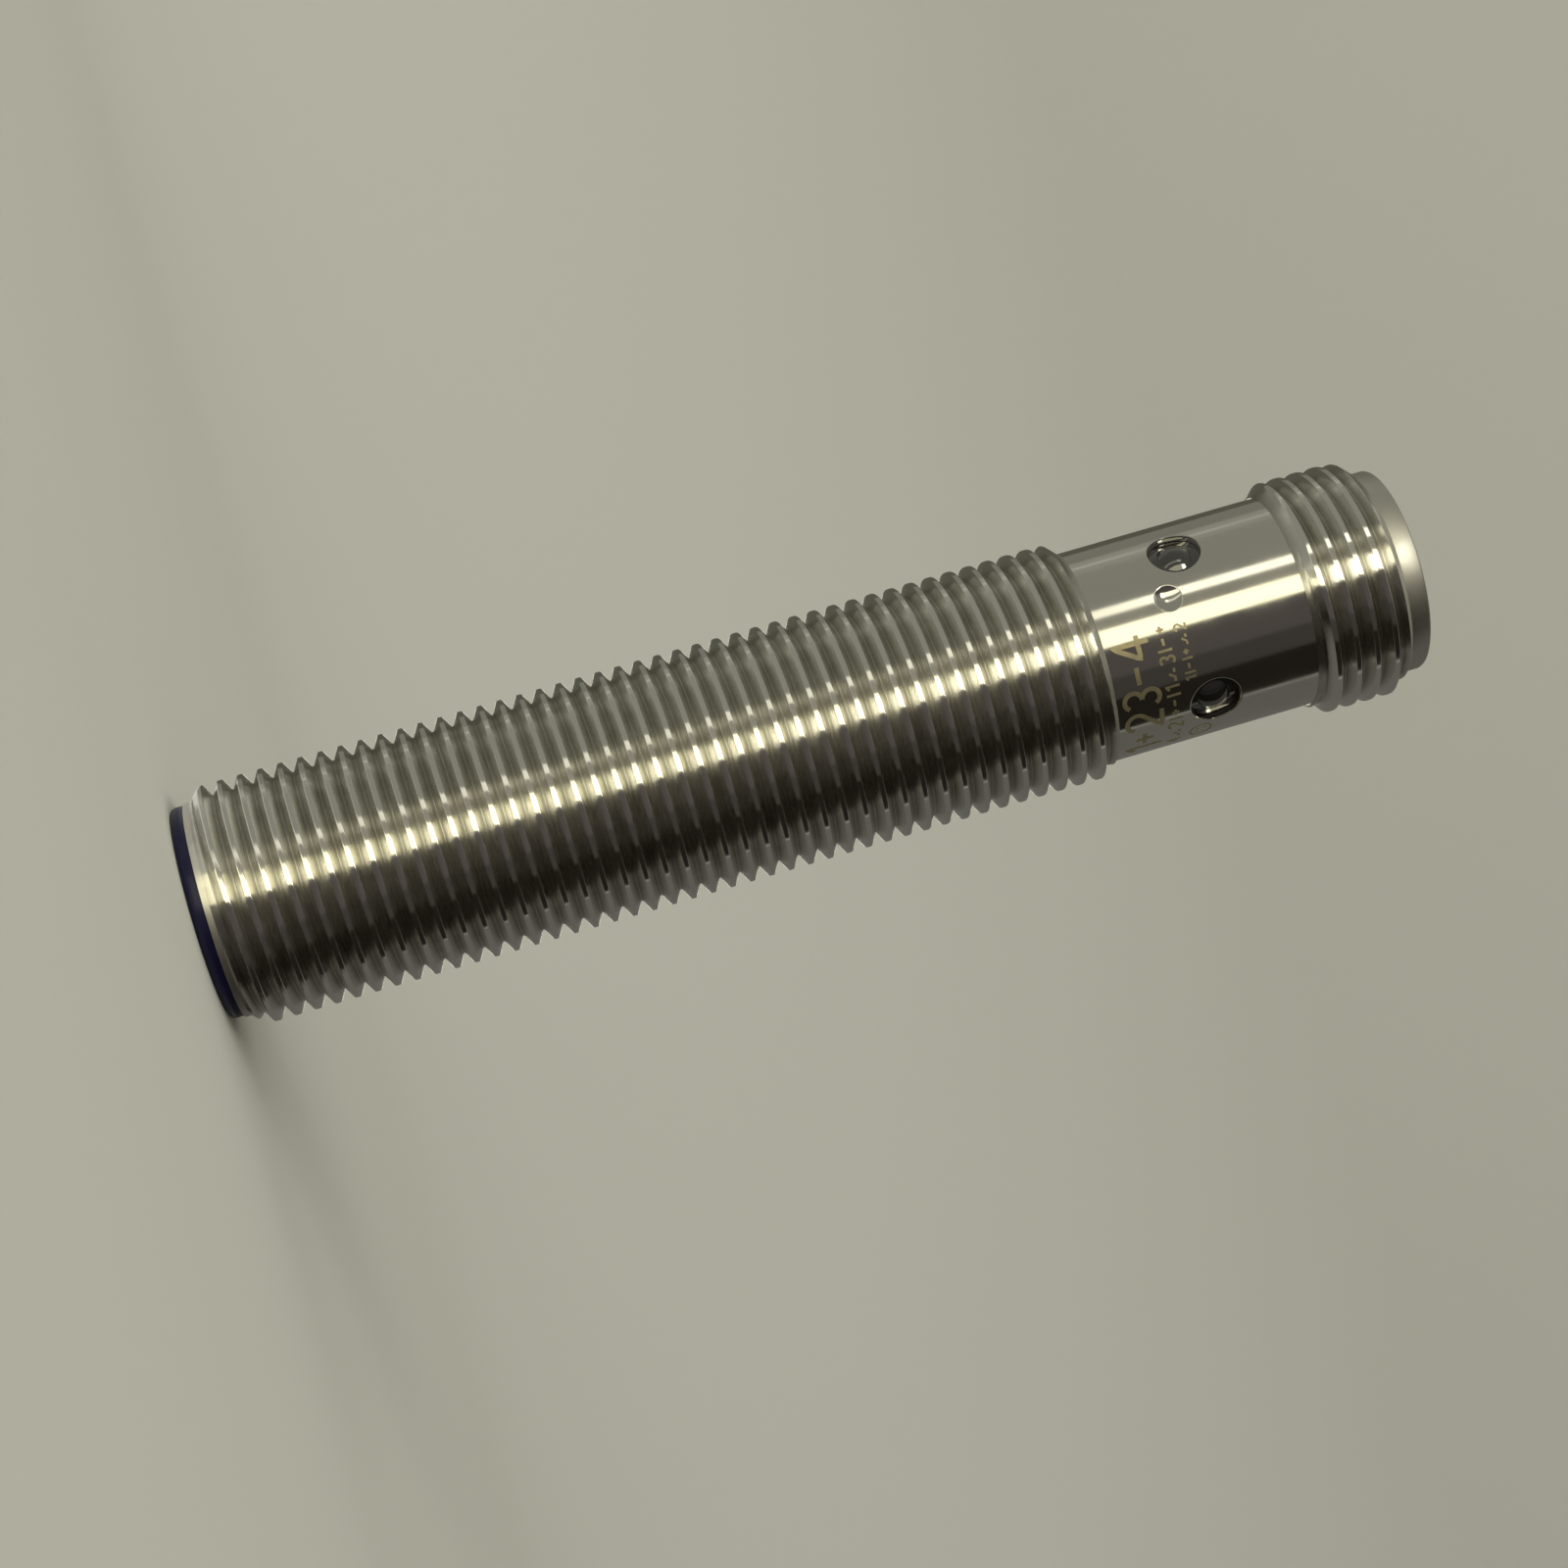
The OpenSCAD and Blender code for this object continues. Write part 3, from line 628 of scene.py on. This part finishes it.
def light_chip():
    """Silicone-filled light chip: pale yellow and slightly glossy."""
    material, tree, shader, where = new_material("silicone_light_chip", ior=1.45)
    tinted(tree, where, shader, "#E3CF6B", "#F0E08C", 0.2)
    worn(tree, where, shader, 0.25, 0.35, 0.2)
    grained(tree, where, shader, 0.1, 0.002)
    return material


def casting_resin():
    """Two-part casting resin: amber brown, glossy, with small clouds from mixing."""
    material, tree, shader, where = new_material("poured_casting_resin", ior=1.54)
    tinted(tree, where, shader, "#4A3A26", "#5E4A30", 1.5)
    worn(tree, where, shader, 0.12, 0.25, 1.5)
    grained(tree, where, shader, 0.8, 0.004)
    return material


# Etched marks

# Angle round the collar from which the marking runs, and how far its long lines run, in millimetres
MARK_TURN = math.radians(264.5)
MARK_LENGTH = 7.5
# How far a mark's top stands off the collar, how much more each next stroke does, and its underside
MARK_LIFT = 0.002
MARK_LIFT_MORE = 0.0001
MARK_FOOT = 0.0005
# Longest straight piece of a stroke
STROKE_STEP = 0.2


def laid_on_collar(across, up, lift):
    """A point of the marking, running round the collar, with its top towards the sensing face."""
    return at(COLLAR_R + lift, MARK_TURN + across / COLLAR_R, up)


def stroke(points, width, lift):
    """The quads of one etched line: a very thin slab that follows the collar."""
    path = [np.array(points[0], float)]
    for point in points[1:]:
        end = np.array(point, float)
        count = max(1, int(math.ceil(np.linalg.norm(end - path[-1]) / STROKE_STEP)))
        start = path[-1]
        path += [start + (end - start) * (i + 1) / count for i in range(count)]
    path = np.array(path)
    ahead = np.gradient(path, axis=0)
    ahead /= np.linalg.norm(ahead, axis=1)[:, None]
    side = np.stack([-ahead[:, 1], ahead[:, 0]], 1) * width / 2
    left, right = path + side, path - side
    top = [laid_on_collar(p[:, 0], p[:, 1], lift) for p in (left, right)]
    low = [laid_on_collar(p[:, 0], p[:, 1], MARK_FOOT) for p in (left, right)]
    loop = np.stack([top[0], top[1], low[1], low[0], top[0]])
    caps = np.stack([loop[:4, 0], loop[:4, -1]])
    return np.concatenate([quads_between(loop), caps])


def arc(centre, radius, start, end, count=14):
    """Points along an arc, angles in degrees."""
    turns = np.radians(np.linspace(start, end, count))
    return [(centre[0] + radius * math.cos(t), centre[1] + radius * math.sin(t)) for t in turns]


# Plain numbers and signs on a box 1 high: strokes of points
SIGNS = {
    "1": [[(0.1, 0.75), (0.36, 1.0), (0.36, 0.0)]],
    "2": [arc((0.3, 0.72), 0.28, 165, -40) + [(0.02, 0.0), (0.6, 0.0)]],
    "3": [arc((0.28, 0.75), 0.25, 150, -90), arc((0.28, 0.25), 0.25, 90, -150)],
    "4": [[(0.45, 0.0), (0.45, 1.0), (0.0, 0.3), (0.65, 0.3)]],
    "+": [[(0.0, 0.5), (0.5, 0.5)], [(0.25, 0.25), (0.25, 0.75)]],
    "-": [[(0.0, 0.5), (0.5, 0.5)]],
    "|": [[(0.1, 0.0), (0.1, 1.0)]],
    "_": [[(0.0, 0.2), (0.3, 0.2), (0.6, 0.6)], [(0.65, 0.2), (0.95, 0.2)]],
}

# Lines of the marking: signs, height, base line, line width, gap and where the line starts
MARK_LINES = (
    ("1+23-4", 1.8, 47.3, 0.24, 0.34, MARK_LENGTH),
    ("4_2|+-|1_3|-+", 0.72, 48.35, 0.13, 0.24, MARK_LENGTH),
    ("1|-|+_2", 0.55, 49.25, 0.11, 0.2, 3.1),
)
# The plan of the contacts: middle, ring radius, line width, contact circle, dot length and width
PLAN_MIDDLE = (MARK_LENGTH - 0.65, 49.35)
PLAN_R = 0.55
PLAN_LINE = 0.11
PLAN_CONTACTS_R = 0.26
PLAN_DOT_L = 0.14
PLAN_DOT_W = 0.14


def etched_marks():
    """Generic marking in three lines: terminal numbers and signs, and a plan of the four contacts."""
    quads = []
    lift = MARK_LIFT
    for signs, height, base, width, gap, along in MARK_LINES:
        for sign in signs:
            wide = max(p[0] for s in SIGNS[sign] for p in s) * height
            for points in SIGNS[sign]:
                placed = [(along - p[0] * height, base - p[1] * height) for p in points]
                quads.append(stroke(placed, width, lift))
                lift += MARK_LIFT_MORE
            along -= wide + gap
    quads.append(stroke(arc(PLAN_MIDDLE, PLAN_R, 0, 360, 25), PLAN_LINE, lift))
    for turn in (45, 135, 225, 315):
        x, y = arc(PLAN_MIDDLE, PLAN_CONTACTS_R, turn, turn, 1)[0]
        quads.append(stroke([(x - PLAN_DOT_L / 2, y), (x + PLAN_DOT_L / 2, y)], PLAN_DOT_W, lift))
    return mesh_object("etched_marks", np.concatenate(quads))


# Pieces

# The sleeve's three finishes, in the order of its material slots
PLAIN, THREAD, SATIN = 0, 1, 2


def sleeve_finish(height, radius):
    """Which finish the sleeve has at that height and radius in millimetres."""
    outside = radius > BORE_R + OUTSIDE
    on_lead_in = height > LEAD_IN_Z and radius > SOCKET_BORE_R + OUTSIDE
    if on_lead_in or outside and height < SLEEVE_Z + FRONT_LAND:
        return SATIN
    for low, high, crest_z in THREADS:
        if outside and low < height < high:
            return THREAD if height < high - RUN_OUT else SATIN
    return PLAIN


nickel = bright_nickel()
sleeve = housing()
for finish in (nickel, nickel_on_thread(), satin_nickel()):
    sleeve.data.materials.append(finish)
for face in sleeve.data.polygons:
    face_r = math.hypot(face.center.x, face.center.y) / MM
    face.material_index = sleeve_finish(face.center.z / MM, face_r)
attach(sleeve, "root")
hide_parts("housing")

marks = etched_marks()
marks.data.materials.append(annealed_marks())
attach(marks, "root")

polyamide = black_polyamide()
ceramic = chip_ceramic()
moulding = chip_moulding()
laminate = board_laminate()
copper = enamelled_copper()
gold = hard_gold()
lit = light_chip()
NODE_FINISHES = {
    "housing": nickel,
    "sensing_face_cap": blue_polyester(),
    "shield_ring": brass_strip(),
    "ferrite_core": pressed_ferrite(),
    "coil_bobbin": natural_polyester(),
    "coil_winding": copper,
    "coil_lead_a": copper,
    "coil_lead_b": copper,
    "circuit_board": laminate,
    "connector_board": laminate,
    "light_guide_ring": smoked_polycarbonate(),
    "contact_carrier": polyamide,
    "potting_resin": casting_resin(),
}
for name in ("sensor_ic", "output_transistor", "supply_diode", "surge_diode"):
    NODE_FINISHES[name] = moulding
for name in ("trim_resistor", "pull_resistor", "supply_capacitor", "timing_capacitor", "filter_capacitor"):
    NODE_FINISHES[name] = ceramic
for number in (1, 2, 3, 4):
    NODE_FINISHES[f"contact_pin_{number}"] = gold
    NODE_FINISHES[f"led_{number}"] = lit
for name, finish in NODE_FINISHES.items():
    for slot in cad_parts[name].material_slots:
        slot.material = finish

# Stage

# Sizes and places on the stage are in metres
FLOOR_COLOUR = "#BBBAB1"
LAMP_COLOUR = "#FFFDF6"
ROOM_COLOUR = "#95958F"
# The point on the sensor's axis that the lamps face
LAMP_AIM = Vector((0, 0, 0.03))
SWEEP_HALF = 1.5
WALL_Y = 0.2
CURVE_R = 0.1
# Where the cards begin at the sensor's foot, and how far off their domes stand
CARD_FOOT_R = 0.0056
CARD_FOOT_Z = 0.0003
NEAR = 0.1
FAR = 0.5
# How far round the foot the glowing ring that paints a reflection of pale paper goes, and its height
PAPER_REFLECTION_R = 0.0135
PAPER_REFLECTION_Z = 0.0004
# The lift in degrees at which the domes end and the ceiling begins
CEILING = 74


def pale_sweep():
    """A pale floor that curves up into a backdrop, seen through from behind and below."""
    curve = [(math.sin(t), 1 - math.cos(t)) for t in np.linspace(0, math.pi / 2, 25)]
    profile = [(-SWEEP_HALF, 0.0)] + [(WALL_Y - CURVE_R + CURVE_R * y, CURVE_R * z) for y, z in curve]
    profile.append((WALL_Y, SWEEP_HALF))
    points = [(x, y, z) for y, z in profile for x in (-SWEEP_HALF, SWEEP_HALF)]
    faces = [(2 * i, 2 * i + 1, 2 * i + 3, 2 * i + 2) for i in range(len(profile) - 1)]
    mesh = bpy.data.meshes.new("pale_sweep")
    mesh.from_pydata(points, [], faces)
    for face in mesh.polygons:
        face.use_smooth = True
    sweep = bpy.data.objects.new("pale_sweep", mesh)
    bpy.context.scene.collection.objects.link(sweep)
    material, tree, shader, where = new_material("matt_backdrop_paper", roughness=0.9)
    shader.inputs["Base Color"].default_value = linear(FLOOR_COLOUR)
    shader.inputs["Specular IOR Level"].default_value = 0.0
    behind = add(tree, "NewGeometry").outputs["Backfacing"]
    clear = add(tree, "BsdfTransparent")
    mix = add(tree, "MixShader", {0: behind, 1: shader.outputs[0], 2: clear.outputs[0]})
    tree.links.new(mix.outputs[0], tree.nodes["Material Output"].inputs["Surface"])
    mesh.materials.append(material)
    return sweep


def round_the_axis(degrees, distance, z):
    """A place round the sensor's axis: 0 degrees is the camera's side, 90 its right-hand side."""
    turn = math.radians(degrees)
    return Vector((math.sin(turn) * distance, -math.cos(turn) * distance, z))


def soft_lamp(name, place, width, height, radiance):
    """A soft box of that radiance that faces the sensor; the metal doesn't mirror it, and glowing cards
    paint its reflection instead.
    """
    light = bpy.data.lights.new(name, "AREA")
    light.shape = "RECTANGLE"
    light.size = width
    light.size_y = height
    # An area lamp's radiance is its power over pi and its area
    light.energy = radiance * math.pi * width * height
    light.color = linear(LAMP_COLOUR)[:3]
    lamp = bpy.data.objects.new(name, light)
    bpy.context.scene.collection.objects.link(lamp)
    back = (place - LAMP_AIM).normalized()
    side = Vector((0, 0, 1)).cross(back).normalized()
    lamp.matrix_world = Matrix((side, back.cross(side), back)).transposed().to_4x4()
    lamp.matrix_world.translation = place
    lamp.visible_camera = False
    lamp.visible_glossy = False
    return lamp


def dome(low, high, distance):
    """Points of radius and height on a dome round the sensor's foot, between two lifts in degrees."""
    lifts = np.radians(np.linspace(low, high, 9))
    return [(distance * math.cos(t), distance * math.sin(t) + CARD_FOOT_Z) for t in lifts]


def reflection_card(name, turns, profile, tone, strength):
    """A glowing card round one side of the sensor, of that profile of radius and height, that only gloss
    shows: a painted reflection, not a lamp.
    """
    steps = np.linspace(*turns, 13)
    rows = len(profile)
    points = [round_the_axis(t, r, z) for t in steps for r, z in profile]
    faces = [
        (c * rows + i, c * rows + i + 1, (c + 1) * rows + i + 1, (c + 1) * rows + i)
        for c in range(len(steps) - 1)
        for i in range(rows - 1)
    ]
    mesh = bpy.data.meshes.new(name)
    mesh.from_pydata(points, [], faces)
    card = bpy.data.objects.new(name, mesh)
    bpy.context.scene.collection.objects.link(card)
    material, tree, shader, where = new_material(name, roughness=1.0)
    shader.inputs["Base Color"].default_value = (0, 0, 0, 1)
    shader.inputs["Specular IOR Level"].default_value = 0.0
    shader.inputs["Emission Color"].default_value = linear(tone)
    shader.inputs["Emission Strength"].default_value = strength
    mesh.materials.append(material)
    # Seen only in reflections: the card lights nothing and casts no shadow, it paints what the gloss
    # mirrors
    card.visible_camera = False
    card.visible_diffuse = False
    card.visible_shadow = False
    return card


pale_sweep()

FOOT = [(CARD_FOOT_R, CARD_FOOT_Z)]
NEAR_DOME = FOOT + dome(0, CEILING, NEAR)
DOME = FOOT + dome(0, CEILING, FAR)
# A painted reflection of pale paper round the foot on the lit side: a glowing ring, seen only in gloss,
# which the plain land in front of the thread mirrors
PAPER_REFLECTION_RING = [(CARD_FOOT_R, PAPER_REFLECTION_Z), (PAPER_REFLECTION_R, PAPER_REFLECTION_Z)]
# Painted reflections: glowing cards, seen only in gloss, give the bands that the nickel mirrors, from
# behind over the key's side and down the other; the dark ones stand for shade. Each card's name, the two
# turns in degrees that it stands between, profile, tone and strength. The key and the strip stand for
# lamps; the key's window is brighter still, a painted glint that only the lenses and the dent mirror.
REFLECTION_CARDS = (
    ("upper_far_card", -172, -140, NEAR_DOME, "#5A594F", 1),
    ("upper_back_card", -140, -116, NEAR_DOME, "#807F76", 1),
    ("upper_side_card", -116, -107, NEAR_DOME, "#9A9990", 1),
    ("upper_line_card", -107, -103.5, NEAR_DOME, "#BAB9AF", 1),
    ("upper_card", -103.5, -95, NEAR_DOME, "#9A9990", 1),
    ("upper_front_card", -95, -45.5, DOME, "#908F86", 1),
    ("strip_foot_card", -45.5, -36, FOOT + dome(0, 16.5, FAR), "#FFFBEA", 0.95),
    ("strip_card", -45.5, -36, dome(16.5, 32, FAR), "#FFFBE6", 1.9),
    ("strip_top_card", -45.5, -36, dome(32, CEILING, FAR), "#919087", 1),
    ("gap_card", -36, -22.5, DOME, "#969388", 1),
    ("key_card", -22.5, -3.5, FOOT + dome(0, 29, FAR), "#FFF9D8", 1.95),
    ("key_window_card", -22.5, -3.5, dome(29, 44, FAR), "#FFFBEA", 9),
    ("key_top_card", -22.5, -3.5, dome(44, CEILING, FAR), "#807D72", 1),
    ("grey_card", -3.5, 30, DOME, "#544F4D", 1),
    ("dark_card", 30, 53, DOME, "#423E3C", 1),
    ("black_card", 53, 94, DOME, "#221F1B", 1),
    ("lower_back_card", 94, 172, NEAR_DOME, "#676661", 1),
    ("back_card", 172, 188, FOOT + dome(0, 40, NEAR), "#FFFBEA", 1.6),
    ("ceiling_card", -180, 180, dome(CEILING, 90, FAR), "#C9C7BE", 1),
    ("foot_card", -172, -22.5, PAPER_REFLECTION_RING, "#CFCDC4", 1),
)
# Each card glows and only gloss sees it: painted reflections of lamps, paper and shade
for name, first, last, profile, tone, strength in REFLECTION_CARDS:
    reflection_card(name, (first, last), profile, tone, strength)
soft_lamp("key_lamp", Vector((-0.25, -0.6, 0.5)), width=0.5, height=0.8, radiance=2.5)
soft_lamp("top_lamp", Vector((-0.42, -0.12, 0.75)), width=1.2, height=1.2, radiance=1.0)

world = bpy.data.worlds.new("plain_room")
world.use_nodes = True
room = world.node_tree.nodes["Background"]
room.inputs["Color"].default_value = linear(ROOM_COLOUR)
room.inputs["Strength"].default_value = 1.0
bpy.context.scene.world = world
bpy.context.scene.view_settings.view_transform = "Standard"

# Camera: near the sensing end, rolled so that the barrel rises to the right
CAMERA_PLACE = Vector((0, -0.150, 0.015))
CAMERA_AIM = Vector((0.001835, 0, 0.028978))
CAMERA_ROLL = math.radians(73.76)
CAMERA_LENS_MM = 70.13
CAMERA_SENSOR_MM = 36
CAMERA_CLIP = 0.005
ahead = (CAMERA_AIM - CAMERA_PLACE).normalized()
side = ahead.cross(Vector((0, 0, 1))).normalized()
rise = side.cross(ahead)
up = rise * math.cos(CAMERA_ROLL) - side * math.sin(CAMERA_ROLL)
camera = bpy.data.objects.new("camera", bpy.data.cameras.new("camera"))
bpy.context.scene.collection.objects.link(camera)
camera.matrix_world = Matrix((ahead.cross(up), up, -ahead)).transposed().to_4x4()
camera.matrix_world.translation = CAMERA_PLACE
camera.data.lens = CAMERA_LENS_MM
camera.data.sensor_width = CAMERA_SENSOR_MM
camera.data.clip_start = CAMERA_CLIP
bpy.context.scene.camera = camera
